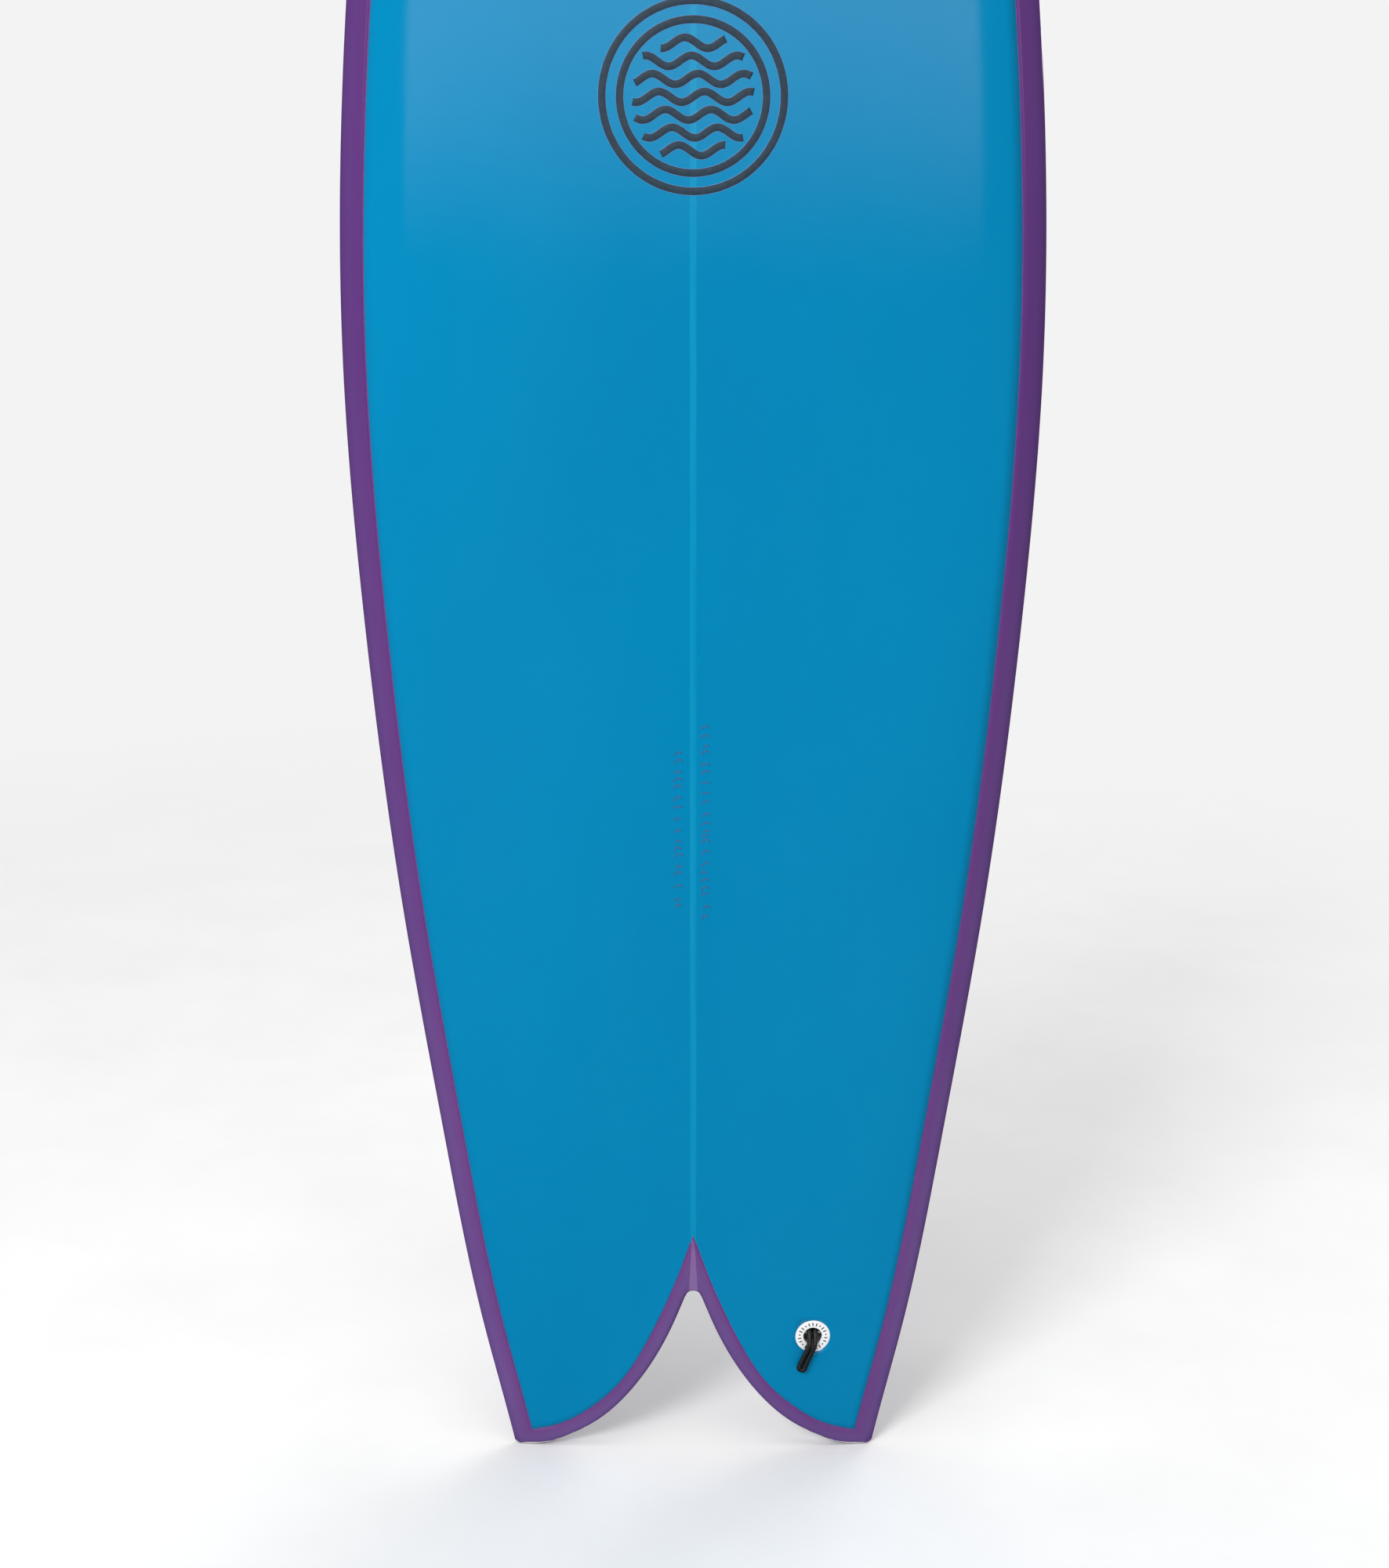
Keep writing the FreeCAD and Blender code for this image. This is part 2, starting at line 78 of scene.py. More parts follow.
def cubic(points, start=None, end=None, samples=4000):
    """Samples of the smooth curve through points, with its end directions given or free."""
    p = np.array(points, float)
    h = np.linalg.norm(np.diff(p, axis=0), axis=1)
    slope = np.diff(p, axis=0) / h[:, None]
    n = len(p)
    a, b = np.zeros((n, n)), np.zeros((n, p.shape[1]))
    for i in range(1, n - 1):
        a[i, i - 1:i + 2] = h[i], 2 * (h[i - 1] + h[i]), h[i - 1]
        b[i] = 3 * (h[i] * slope[i - 1] + h[i - 1] * slope[i])
    for row, near, given, side in ((0, 1, start, 0), (n - 1, n - 2, end, -1)):
        a[row, row] = 1 if given else 2
        a[row, near] = 0 if given else 1
        b[row] = np.array(given) / np.linalg.norm(given) if given else 3 * slope[side]
    m = np.linalg.solve(a, b)
    knots = np.concatenate([[0], np.cumsum(h)])
    t = np.linspace(0, knots[-1], samples)
    k = np.clip(np.searchsorted(knots, t) - 1, 0, n - 2)
    u = ((t - knots[k]) / h[k])[:, None]
    hk = h[k][:, None]
    return ((2 * u ** 3 - 3 * u ** 2 + 1) * p[k] + (u ** 3 - 2 * u ** 2 + u) * hk * m[k]
            + (3 * u ** 2 - 2 * u ** 3) * p[k + 1] + (u ** 3 - u ** 2) * hk * m[k + 1])


def arc(start, middle, end, samples=40):
    """Samples of the circle's arc through three points."""
    (ax, ay), (bx, by), (cx, cy) = start, middle, end
    m = np.array([[bx - ax, by - ay], [cx - bx, cy - by]])
    r = np.array([(bx * bx - ax * ax + by * by - ay * ay) / 2, (cx * cx - bx * bx + cy * cy - by * by) / 2])
    x, y = np.linalg.solve(m, r)
    radius = math.hypot(ax - x, ay - y)
    angles = np.unwrap([math.atan2(q - y, p - x) for p, q in (start, middle, end)])
    t = np.linspace(angles[0], angles[2], samples)
    return np.stack([x + np.cos(t) * radius, y + np.sin(t) * radius], 1)


def left_normals(line):
    """Unit normals on the left of a line of plan points."""
    along = np.gradient(line, axis=0)
    along /= np.linalg.norm(along, axis=1)[:, None]
    return np.stack([-along[:, 1], along[:, 0]], 1)


def smooth(low, high, value):
    """A smooth step from 0 at low to 1 at high."""
    t = np.clip((value - low) / (high - low), 0, 1)
    return t * t * (3 - 2 * t)


OUTLINE_CURVE = cubic(OUTLINE, (6, 30), (-1, 0)) * MM
lap_share = np.minimum(OUTLINE_CURVE[:, 1] / FOIL_CENTRE, 1)[:, None]
LAP_CURVE = OUTLINE_CURVE + left_normals(OUTLINE_CURVE) * (LAP_TAIL + (LAP_WIDE - LAP_TAIL) * lap_share)
LAP_TOP = LAP_CURVE[-1, 1]
NOSE_TIP = OUTLINE_CURVE[-1, 1]


def width(z):
    """Half-width of the board at height z."""
    return np.interp(z, OUTLINE_CURVE[:, 1], OUTLINE_CURVE[:, 0])


def lap_width(z):
    """Half-width of the blue inlay at height z."""
    return np.maximum(np.interp(z, LAP_CURVE[:, 1], LAP_CURVE[:, 0], right=0), 0) * (z < LAP_TOP)


def rocker(z):
    """How far the bottom's centre line has bent towards the deck."""
    nose = np.clip((z - ROCKER_CENTRE) / (LENGTH - ROCKER_CENTRE), 0, None)
    tail = np.clip((ROCKER_CENTRE - z) / ROCKER_CENTRE, 0, None)
    lift = NOSE_ROCKER * (0.3 * nose ** 2 + 0.7 * nose ** 3.2)
    return lift + TAIL_ROCKER * (0.55 * tail ** 2 + 0.45 * tail ** 3)


def thickness(z):
    """Thickness of the board on its centre line."""
    nose = np.clip((z - FOIL_CENTRE) / (LENGTH - FOIL_CENTRE), 0, None)
    tail = np.clip((FOIL_CENTRE - z) / FOIL_CENTRE, 0, None)
    full = THICKNESS - (THICKNESS - TIP_THICKNESS) * (nose ** 2.6 + tail ** 2.4)
    to_tip = np.clip((NOSE_TIP - z) / NOSE_ROUND, 0, 1)
    return full * np.sqrt(1 - (1 - to_tip) ** 2)


def rail_apex(z):
    """Y of the rail's outermost line, where the deck's curve meets the bottom's."""
    return BASE_Y - rocker(z) - (1 - DECK_SHARE) * thickness(z)


def deck_y(x, z):
    share = np.clip(np.abs(x) / np.maximum(width(z), 1e-9), 0, 1)
    return rail_apex(z) - DECK_SHARE * thickness(z) * (1 - share ** DECK_CROWN) ** (1 / DECK_CROWN)


def bottom_y(x, z):
    share = np.clip(np.abs(x) / np.maximum(width(z), 1e-9), 0, 1)
    return rail_apex(z) + (1 - DECK_SHARE) * thickness(z) * (1 - share ** BOTTOM_CROWN) ** (1 / BOTTOM_CROWN)


def surface_frame(x, z, height, sign):
    """The matrix whose axes run across the board, up it and out of it, -Y (sign -1) or +Y (1)."""
    step = 0.001
    here = Vector((x, float(height(x, z)), z + RISE))
    along = Vector((0, float(height(x, z + step) - height(x, z - step)), 2 * step))
    sideways = Vector((2 * step, float(height(x + step, z) - height(x - step, z)), 0))
    out = along.cross(sideways).normalized()
    out *= math.copysign(1, out.y * sign)
    up = (along - out * along.dot(out)).normalized()
    across = up.cross(out)
    return Matrix.Translation(here) @ Matrix((across, up, out)).transposed().to_4x4()


# ---------------------------------------------------------------- plan grid of the right half
EDGE_ROWS, BAND_ROWS, RAIL_COLUMNS, INLAY_COLUMNS, WALL_ROWS = 6, 5, 14, 38, 4
BLEND_HEIGHT = 0.46         # above this the grid's rows run straight across
CORNER_Z = LAP_NOTCH[-1][1] * MM


def fractions():
    """Columns from the centre line (0) to the lap line (1), closer together at the centre."""
    return (np.arange(INLAY_COLUMNS + 1) / INLAY_COLUMNS) ** 1.4


def by_fraction(line, reach, wanted):
    """Points of a line at the wanted shares of its way out, where reach(z) is the full way at its height."""
    share = line[:, 0] / reach(line[:, 1])
    share = np.maximum.accumulate(share / share[-1])
    return np.stack([np.interp(wanted, share, line[:, 0]), np.interp(wanted, share, line[:, 1])], 1)


def resample(line, count):
    """A line cut into points at even steps of its length."""
    steps = np.concatenate([[0], np.cumsum(np.linalg.norm(np.diff(line, axis=0), axis=1))])
    t = np.linspace(0, steps[-1], count)
    return np.stack([np.interp(t, steps, line[:, 0]), np.interp(t, steps, line[:, 1])], 1)


def rail_fractions(lap_share):
    """Shares of the half-width from the lap line to the rail's apex, even in angle round the section."""
    height = (1 - lap_share ** DECK_CROWN) ** (1 / DECK_CROWN)
    angle = np.arctan2(height, lap_share)
    angles = angle[..., None] * (1 - np.arange(RAIL_COLUMNS + 1) / RAIL_COLUMNS)
    c, s = np.cos(angles), np.sin(angles)
    return c * (c ** DECK_CROWN + s ** DECK_CROWN) ** (-1 / DECK_CROWN)


def row_heights():
    """Heights at the rail of the rows above the tail band."""
    steps = [CORNER_Z]
    while steps[-1] < 0.33:
        steps.append(steps[-1] + 0.005)
    while steps[-1] < 1.50:
        steps.append(steps[-1] + 0.009)
    low = steps[-1]
    t = np.linspace(0, math.pi / 2, 34)[1:]
    below = low + (LAP_TOP - low) * np.sin(t)
    t = np.linspace(0, math.pi / 2, 10)[1:]
    above = LAP_TOP + (NOSE_TIP - LAP_TOP) * np.sin(t)
    return np.array(steps + list(below) + list(above)), len(steps) + len(below) - 1


def plan_grid():
    """Plan points of the right half: the tail's edge with its normals, and every row from the lap line up.
    The rows between the two come from tail_rows. With them go the numbers of the lap line's row and of the row
    of the lap's top."""
    sigma = fractions()
    circle = arc((0, NOTCH_CENTRE + NOTCH_RADIUS), (0.0046, NOTCH_CENTRE + 0.00528), (0.0062, 0.138))
    notch = cubic(NOTCH, samples=1500) * MM
    tip = arc(*TIP_ARC, samples=400)
    tip = tip[tip[:, 0] <= width(tip[:, 1])]
    tip[-1, 0] = width(tip[-1, 1])
    under_corner = int(np.argmin(np.abs(notch[:, 0] - 0.1352)))
    inner = np.concatenate([circle[:-1], notch[:under_corner + 1]])
    outer = np.concatenate([notch[under_corner:-1], tip])
    inner = by_fraction(inner, lambda z: width(z) - LAP_TAIL, sigma)
    edge = np.concatenate([inner, resample(outer, RAIL_COLUMNS + 1)[1:]])
    normal = left_normals(edge)
    normal[0] = 0, 1
    lap = by_fraction(cubic(LAP_NOTCH) * MM, lap_width, sigma)
    heights, top = row_heights()
    rail = rail_fractions(lap_width(heights) / np.maximum(width(heights), 1e-9))
    decay = 1 - smooth(CORNER_Z, BLEND_HEIGHT, heights)
    z_main = heights[:, None] + (lap[:, 1] - CORNER_Z)[None, :] * decay[:, None]
    x_main = sigma[None, :] * lap_width(z_main)
    for x, z in zip(x_main, z_main):
        stringer = min(STRINGER / 2, x[2] * 0.8)
        z[1] = np.interp(stringer, x[:3], z[:3])
        x[1] = stringer
    x_rail = rail[:, 1:] * width(heights)[:, None]
    z_rail = np.repeat(heights[:, None], RAIL_COLUMNS, 1)
    main = np.stack([np.concatenate([x_main, x_rail], 1), np.concatenate([z_main, z_rail], 1)], 2)
    return edge, normal, main, EDGE_ROWS + BAND_ROWS, EDGE_ROWS + BAND_ROWS + top


EDGE, EDGE_NORMAL, MAIN, LAP_ROW, TOP_ROW = plan_grid()
WALL = bottom_y(EDGE[:, 0], EDGE[:, 1]) - deck_y(EDGE[:, 0], EDGE[:, 1])


def tail_rows(roll):
    """Plan points of the rows from the tail's edge to the lap line, and how far the roll sinks each."""
    phi = np.linspace(0, math.pi / 2, EDGE_ROWS + 1)[:, None]
    inward = roll[None, :] * (1 - np.cos(phi))
    sunk = roll[None, :] * (1 - np.sin(phi))
    rolled = EDGE[None] + EDGE_NORMAL[None] * inward[..., None]

    def share(points):
        return np.stack([points[..., 0] / width(points[..., 1]), points[..., 1]], -1)

    blend = (np.arange(1, BAND_ROWS) / BAND_ROWS)[:, None, None]
    band = share(rolled[-1])[None] * (1 - blend) + share(MAIN[0])[None] * blend
    band[..., 0] *= width(band[..., 1])
    band[:, 0, 0] = 0
    plan = np.concatenate([rolled, band])
    plan[:, -1, 0] = width(plan[:, -1, 1])
    return plan, np.concatenate([sunk, np.zeros((BAND_ROWS - 1, len(roll)))])


def side_grid(sign, largest_roll, share_of_wall):
    """Plan points of one side and how far each is sunk: the deck's to +Y (sign 1), the bottom's to -Y (-1)."""
    roll = np.minimum(largest_roll, share_of_wall * WALL)
    tail, sunk = tail_rows(roll)
    plan = np.concatenate([tail, MAIN])
    sunk = np.concatenate([sunk, np.zeros(MAIN.shape[:2])])
    return plan, sunk * sign


class Sheet:
    """Collects the quads of one side, mirrored, and cuts round holes in it with their edge on the grid."""

    def __init__(self, height, sign, largest_roll, share_of_wall):
        self.height = height
        self.plan, self.sunk = side_grid(sign, largest_roll, share_of_wall)
        self.flipped = height is bottom_y

    def half(self, side, holes):
        """Vertices of the right (1) or left (-1) half, and which are on a hole's edge (1) or inside it (2).
        The vertices nearest to a hole's edge are snapped onto its circle."""
        plan = self.plan.copy()
        plan[..., 0] *= side
        inside = np.zeros(plan.shape[:2], int)
        for x, z, radius in holes:
            centre = np.array([x, z])
            for _ in range(2):
                rho = np.linalg.norm(plan - centre, axis=2)
                snap = np.zeros_like(rho, bool)
                for axis in (0, 1):
                    count = rho.shape[axis]
                    first, second = np.take(rho, range(count - 1), axis), np.take(rho, range(1, count), axis)
                    crossing = (first - radius) * (second - radius) < 0
                    nearer = np.abs(first - radius) <= np.abs(second - radius)
                    low = [slice(None), slice(None)]
                    high = [slice(None), slice(None)]
                    low[axis], high[axis] = slice(0, -1), slice(1, None)
                    snap[tuple(low)] |= crossing & nearer
                    snap[tuple(high)] |= crossing & ~nearer
                pull = centre + (plan - centre) * (radius / np.maximum(rho, 1e-9))[..., None]
                plan[snap] = pull[snap]
            rho = np.linalg.norm(plan - centre, axis=2)
            inside[rho < radius - 1e-6] = 2
            inside[np.abs(rho - radius) <= 1e-6] = 1
        y = self.height(plan[..., 0], plan[..., 1]) + self.sunk
        return np.stack([plan[..., 0], y, plan[..., 1] + RISE], -1), inside

    def band(self, row, column):
        """How far a place is from the lap line (0) to the board's edge (1), for the purple's painted shade,
        which is darkest at the board's edge.
        """
        if self.flipped:
            # On the bottom the painted shade starts part way and deepens towards the rail's apex.
            return 0.4 + 0.6 * max((column - INLAY_COLUMNS) / RAIL_COLUMNS, 0.0)
        top = (row - TOP_ROW) / (self.plan.shape[0] - 1 - TOP_ROW)
        return max(1 - row / LAP_ROW, (column - INLAY_COLUMNS) / RAIL_COLUMNS, top, 0.0)

    def add_to(self, bm, keep, slot_of, holes=()):
        """Adds the faces that keep(row, column) wants, on both halves."""
        # The "band" layer carries how deep the purple's painted shade is at each vertex.
        layer = bm.verts.layers.float.get("band") or bm.verts.layers.float.new("band")
        for side in (1, -1):
            points, inside = self.half(side, holes)
            made = {}

            def vertex(key):
                if key not in made:
                    made[key] = bm.verts.new(points[key])
                    made[key][layer] = self.band(*key)
                return made[key]

            for row in range(points.shape[0] - 1):
                for column in range(points.shape[1] - 1):
                    if not keep(row, column):
                        continue
                    corners = [(row, column), (row, column + 1), (row + 1, column + 1), (row + 1, column)]
                    states = [inside[c] for c in corners]
                    if states.count(2) == 1:
                        opposite = (states.index(2) + 2) % 4
                        if states[opposite] != 0 or states.count(1) != 2:
                            continue
                        corners.pop(states.index(2))
                    elif 2 in states or states == [1, 1, 1, 1]:
                        continue
                    if (side < 0) != self.flipped:
                        corners.reverse()
                    face = bm.faces.new([vertex(c) for c in corners])
                    face.material_index = slot_of(row, column)


def add_wall(bm, deck, bottom):
    """The square-cut wall of the tail's edge, between the two rolled edges."""
    layer = bm.verts.layers.float["band"]
    for side in (1, -1):
        top, low = deck.half(side, ())[0][0], bottom.half(side, ())[0][0]
        rows = [[bm.verts.new(p) for p in top + (low - top) * i / WALL_ROWS] for i in range(WALL_ROWS + 1)]
        # The tail's wall takes the darkest painted shade of the purple.
        for vertex in sum(rows, []):
            vertex[layer] = 1.0
        for above, below in zip(rows, rows[1:]):
            for c in range(len(above) - 1):
                loop = [above[c], below[c], below[c + 1], above[c + 1]]
                bm.faces.new(loop if side > 0 else loop[::-1])


# ---------------------------------------------------------------- pieces
def link(obj):
    """Puts an object in the scene."""
    bpy.context.scene.collection.objects.link(obj)
    return obj


def piece(name, bm, materials, rounded=True):
    """A mesh piece that rides on the board and takes its finishes from the list it is given."""
    mesh = bpy.data.meshes.new(name)
    bm.to_mesh(mesh)
    bm.free()
    for face in mesh.polygons:
        face.use_smooth = rounded
    for item in materials:
        mesh.materials.append(item)
    obj = link(bpy.data.objects.new(name, mesh))
    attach(obj, "board")
    return obj


def tidy(bm):
    """Joins the halves, and drops needle faces and loose vertices."""
    bmesh.ops.remove_doubles(bm, verts=bm.verts, dist=4e-6)
    bmesh.ops.dissolve_degenerate(bm, dist=1e-6, edges=bm.edges)
    loose = [v for v in bm.verts if not v.link_faces]
    bmesh.ops.delete(bm, geom=loose, context="VERTS")


def ribbon(bm, path, half_width, height, lift, sign=-1, closed=False, slot=0):
    """A low strip along path, a list of plan points, lying on the surface that height gives."""
    sunk = -0.00012
    line = np.array(path, float)
    if closed:
        padded_line = np.concatenate([line[-1:], line, line[:1]])
        side = left_normals(padded_line)[1:-1]
    else:
        side = left_normals(line)
    rings = []
    for offset, out in ((-1, sunk), (-0.75, lift), (0.75, lift), (1, sunk)):
        plan = line + side * (offset * half_width)
        y = height(plan[:, 0], plan[:, 1]) + sign * out
        rings.append([bm.verts.new((x, yy, z + RISE)) for (x, z), yy in zip(plan, y)])
    count = len(line)
    for i in range(count if closed else count - 1):
        j = (i + 1) % count
        for a in range(4):
            b = (a + 1) % 4
            bm.faces.new([rings[a][i], rings[b][i], rings[b][j], rings[a][j]]).material_index = slot
    if not closed:
        bm.faces.new([ring[0] for ring in rings][::-1]).material_index = slot
        bm.faces.new([ring[-1] for ring in rings]).material_index = slot


def lathe(bm, profile, frame_matrix, steps=64):
    """Turns the closed profile of (radius, level) points round the frame's third axis."""
    rings = []
    for i in range(steps):
        angle = 2 * math.pi * i / steps
        turned = [Vector((r * math.cos(angle), r * math.sin(angle), level)) for r, level in profile]
        rings.append([bm.verts.new(frame_matrix @ p) for p in turned])
    for i in range(steps):
        a, b = rings[i], rings[(i + 1) % steps]
        for j in range(len(profile)):
            k = (j + 1) % len(profile)
            bm.faces.new([a[j], b[j], b[k], a[k]])


# ---------------------------------------------------------------- materials
class Nodes:
    """A new material with its Principled shader and short calls for the nodes round it."""

    def __init__(self, name, **constants):
        self.material = bpy.data.materials.new(name)
        self.material.use_nodes = True
        self.tree = self.material.node_tree
        self.shader = self.tree.nodes["Principled BSDF"]
        for key, value in constants.items():
            self.shader.inputs[key.replace("_", " ")].default_value = value

    def node(self, kind, settings=None, **sockets):
        made = self.tree.nodes.new(kind)
        for key, value in (settings or {}).items():
            setattr(made, key, value)
        for key, value in sockets.items():
            socket = made.inputs[int(key[1:])] if key[0] == "i" and key[1:].isdigit() else made.inputs[key]
            if isinstance(value, bpy.types.NodeSocket):
                self.tree.links.new(value, socket)
            else:
                socket.default_value = value
        return made

    def position(self, scale=(1, 1, 1), turn=(0, 0, 0)):
        where = self.node("ShaderNodeTexCoord").outputs["Object"]
        return self.node("ShaderNodeMapping", Vector=where, Scale=scale, Rotation=turn).outputs[0]

    def noise(self, scale, detail=3.0, roughness=0.55, stretch=(1, 1, 1)):
        return self.node("ShaderNodeTexNoise", Vector=self.position(stretch), Scale=scale, Detail=detail,
                         Roughness=roughness).outputs["Fac"]

    def math(self, operation, a, b=0.0, c=0.0):
        return self.node("ShaderNodeMath", {"operation": operation}, i0=a, i1=b, i2=c).outputs[0]

    def remap(self, value, low, high, to_low, to_high):
        return self.node("ShaderNodeMapRange", i0=value, i1=low, i2=high, i3=to_low, i4=to_high).outputs[0]

    def mix(self, factor, a, b):
        kind = {"data_type": "RGBA"}
        return self.node("ShaderNodeMix", kind, i0=factor, i6=a, i7=b).outputs[2]

    def axis(self, index):
        split = self.node("ShaderNodeSeparateXYZ", Vector=self.node("ShaderNodeTexCoord").outputs["Object"])
        return split.outputs[index]

    def colour(self, value):
        self.tree.links.new(value, self.shader.inputs["Base Color"])

    def roughness(self, value):
        self.tree.links.new(value, self.shader.inputs["Roughness"])

    def bump(self, height, distance, strength=1.0):
        made = self.node("ShaderNodeBump", Height=height, Distance=distance, Strength=strength)
        self.tree.links.new(made.outputs[0], self.shader.inputs["Normal"])


def rgb(red, green, blue):
    """A linear colour from its screen values of 0 to 255."""
    def linear(value):
        share = value / 255
        return share / 12.92 if share <= 0.04045 else ((share + 0.055) / 1.055) ** 2.4
    return linear(red), linear(green), linear(blue), 1.0


def weave(made, pitch, turn=0.0):
    """Plain woven cloth: threads over and under each other at right angles, from 0 to 1."""
    across, up = made.axis(0), made.axis(2)
    if turn:
        across, up = made.math("ADD", across, up), made.math("SUBTRACT", across, up)
    wave = 2 * math.pi / pitch
    one = made.math("SINE", made.math("MULTIPLY", across, wave))
    two = made.math("SINE", made.math("MULTIPLY", up, wave))
    return made.math("MULTIPLY_ADD", made.math("MULTIPLY", one, two), 0.5, 0.5)


def gloss(made, low, high, cloth, waviness=0.00012):
    """Polished resin: slightly uneven gloss, long soft waves from sanding and the cloth just showing."""
    smear = made.noise(6.0, 4.0, 0.6, (1, 1, 0.35))
    made.roughness(made.remap(smear, 0.3, 0.7, low, high))
    waves = made.math("MULTIPLY", made.noise(9.0, 2.0), waviness / 0.00002)
    made.bump(made.math("ADD", waves, made.math("MULTIPLY", cloth, 0.12)), 0.00002)


def blue_resin():
    made = Nodes("blue_resin", Specular_IOR_Level=0.28, IOR=1.5)
    cloud = made.noise(3.2, 4.0, 0.5, (1, 1, 0.5))
    cloth = weave(made, 0.0011)
    tone = made.mix(made.remap(cloud, 0.35, 0.65, 0.0, 1.0), rgb(0, 125, 173), rgb(0, 131, 179))
    speck = made.noise(900.0, 1.0, 0.5)
    tone = made.mix(made.remap(speck, 0.60, 0.78, 0.0, 0.22), tone, rgb(6, 141, 188))
    made.colour(made.mix(made.math("MULTIPLY", cloth, 0.10), tone, rgb(0, 114, 162)))
    gloss(made, 0.06, 0.12, cloth)
    return made.material


def stringer_stripe():
    """The wood strip seen through the blue resin as a lighter line."""
    made = Nodes("stringer_stripe", Specular_IOR_Level=0.28, IOR=1.5)
    grain = made.noise(160.0, 3.0, 0.6, (1, 1, 0.04))
    made.colour(made.mix(made.remap(grain, 0.3, 0.7, 0.0, 1.0), rgb(0, 133, 179), rgb(14, 143, 184)))
    gloss(made, 0.06, 0.12, weave(made, 0.0011))
    return made.material


def purple_resin():
    """Purple tint: rosy where the cut lap ends and cooler across the band, with painted shade that deepens
    towards the board's edge and towards the nose.
    """
    made = Nodes("purple_resin", Specular_IOR_Level=0.3, IOR=1.5)
    cloud = made.noise(7.0, 4.0, 0.6)
    cloth = weave(made, 0.0011)
    height = made.axis(2)
    band = made.node("ShaderNodeAttribute", {"attribute_name": "band"}).outputs["Fac"]
    tone = made.mix(made.remap(band, 0.0, 0.35, 0.0, 1.0), rgb(114, 68, 134), rgb(108, 82, 140))
    # Painted shade: the purple darkens from the band's middle to the board's edge and the tail's wall.
    tone = made.mix(made.remap(band, 0.35, 1.0, 0.0, 1.0), tone, rgb(88, 56, 116))
    tone = made.mix(made.remap(cloud, 0.35, 0.65, 0.0, 0.35), tone, rgb(92, 58, 124))
    # Painted shade: the purple darkens towards the nose.
    tone = made.mix(made.remap(height, 0.1, 0.9, 0.0, 0.7), tone, rgb(84, 44, 112))
    reach = made.remap(height, 0.142, 0.187, 0.0036, 0.0011)
    away = made.math("ABSOLUTE", made.axis(0))
    fade = made.remap(height, 0.178, 0.189, 0.75, 0.0)
    stripe = made.math("MULTIPLY", made.math("LESS_THAN", away, reach), fade)
    on_deck = made.math("LESS_THAN", made.axis(1), -0.03)
    tone = made.mix(made.math("MULTIPLY", stripe, on_deck), tone, rgb(138, 108, 160))
    off_deck = made.math("SUBTRACT", 1.0, on_deck)
    on_bottom = made.math("MAXIMUM", made.math("GREATER_THAN", height, 0.25), off_deck)
    over_wood = made.math("LESS_THAN", away, STRINGER / 2)
    line = made.math("MULTIPLY", over_wood, made.math("LESS_THAN", height, 1.6))
    line = made.math("MULTIPLY", made.math("MULTIPLY", line, on_bottom), 0.4)
    tone = made.mix(line, tone, rgb(150, 116, 158))
    made.colour(made.mix(made.math("MULTIPLY", cloth, 0.12), tone, rgb(82, 46, 110)))
    gloss(made, 0.08, 0.15, cloth)
    return made.material


def plain(name, low, high, scale, rough=(0.3, 0.5), bump=0.00002, stretch=(1, 1, 1), **constants):
    """A finish whose colour wanders between two tones, with its own gloss and grain."""
    made = Nodes(name, **constants)
    wander = made.noise(scale, 4.0, 0.6, stretch)
    made.colour(made.mix(made.remap(wander, 0.3, 0.7, 0.0, 1.0), low, high))
    grain = made.noise(scale * 3.1, 3.0, 0.6, stretch)
    made.roughness(made.remap(grain, 0.3, 0.7, *rough))
    made.bump(grain, bump)
    return made.material


def string_material():
    """Glossy black braided string."""
    made = Nodes("black_braid", Specular_IOR_Level=0.6, Coat_Weight=0.35, Coat_Roughness=0.18)
    braid = weave(made, 0.0013, turn=1.0)
    made.colour(made.mix(braid, rgb(3, 3, 4), rgb(20, 20, 22)))
    made.roughness(made.remap(braid, 0.0, 1.0, 0.42, 0.22))
    made.bump(braid, 0.00022)
    return made.material


def fibreglass():
    """Pale green moulded fibreglass with its cloth showing, as in a composite fin."""
    made = Nodes("fin_fibreglass", Specular_IOR_Level=0.5, IOR=1.52, Coat_Weight=0.3, Coat_Roughness=0.08)
    up, back = made.axis(2), made.axis(1)
    wave = 2 * math.pi / 0.0024
    one = made.math("SINE", made.math("MULTIPLY", up, wave))
    two = made.math("SINE", made.math("MULTIPLY", back, wave))
    cloth = made.math("MULTIPLY_ADD", made.math("MULTIPLY", one, two), 0.5, 0.5)
    cloud = made.noise(24.0, 3.0)
    tone = made.mix(made.remap(cloud, 0.2, 0.8, 0.0, 1.0), rgb(156, 175, 157), rgb(168, 186, 167))
    made.colour(made.mix(made.math("MULTIPLY", cloth, 0.5), tone, rgb(200, 212, 194)))
    made.roughness(made.remap(cloud, 0.2, 0.8, 0.2, 0.26))
    made.bump(cloth, 0.00003)
    return made.material


BLUE = blue_resin()
STRIPE = stringer_stripe()
PURPLE = purple_resin()
LAP_LINE = plain("lap_line", rgb(98, 58, 126), rgb(110, 66, 136), 60.0, (0.2, 0.3), Specular_IOR_Level=0.3)
INK = plain("badge_ink", rgb(34, 52, 66), rgb(46, 62, 76), 300.0, (0.3, 0.45), Specular_IOR_Level=0.2)
INK_EDGE = plain("badge_edge", rgb(64, 118, 168), rgb(80, 128, 176), 300.0, (0.3, 0.45),
                 Specular_IOR_Level=0.2)
PENCIL = plain("pencil", rgb(34, 86, 132), rgb(84, 76, 116), 1400.0, (0.35, 0.5), Specular_IOR_Level=0.2)
WHITE = plain("white_plastic", rgb(240, 241, 242), rgb(250, 250, 250), 120.0, (0.28, 0.4), 0.00001)
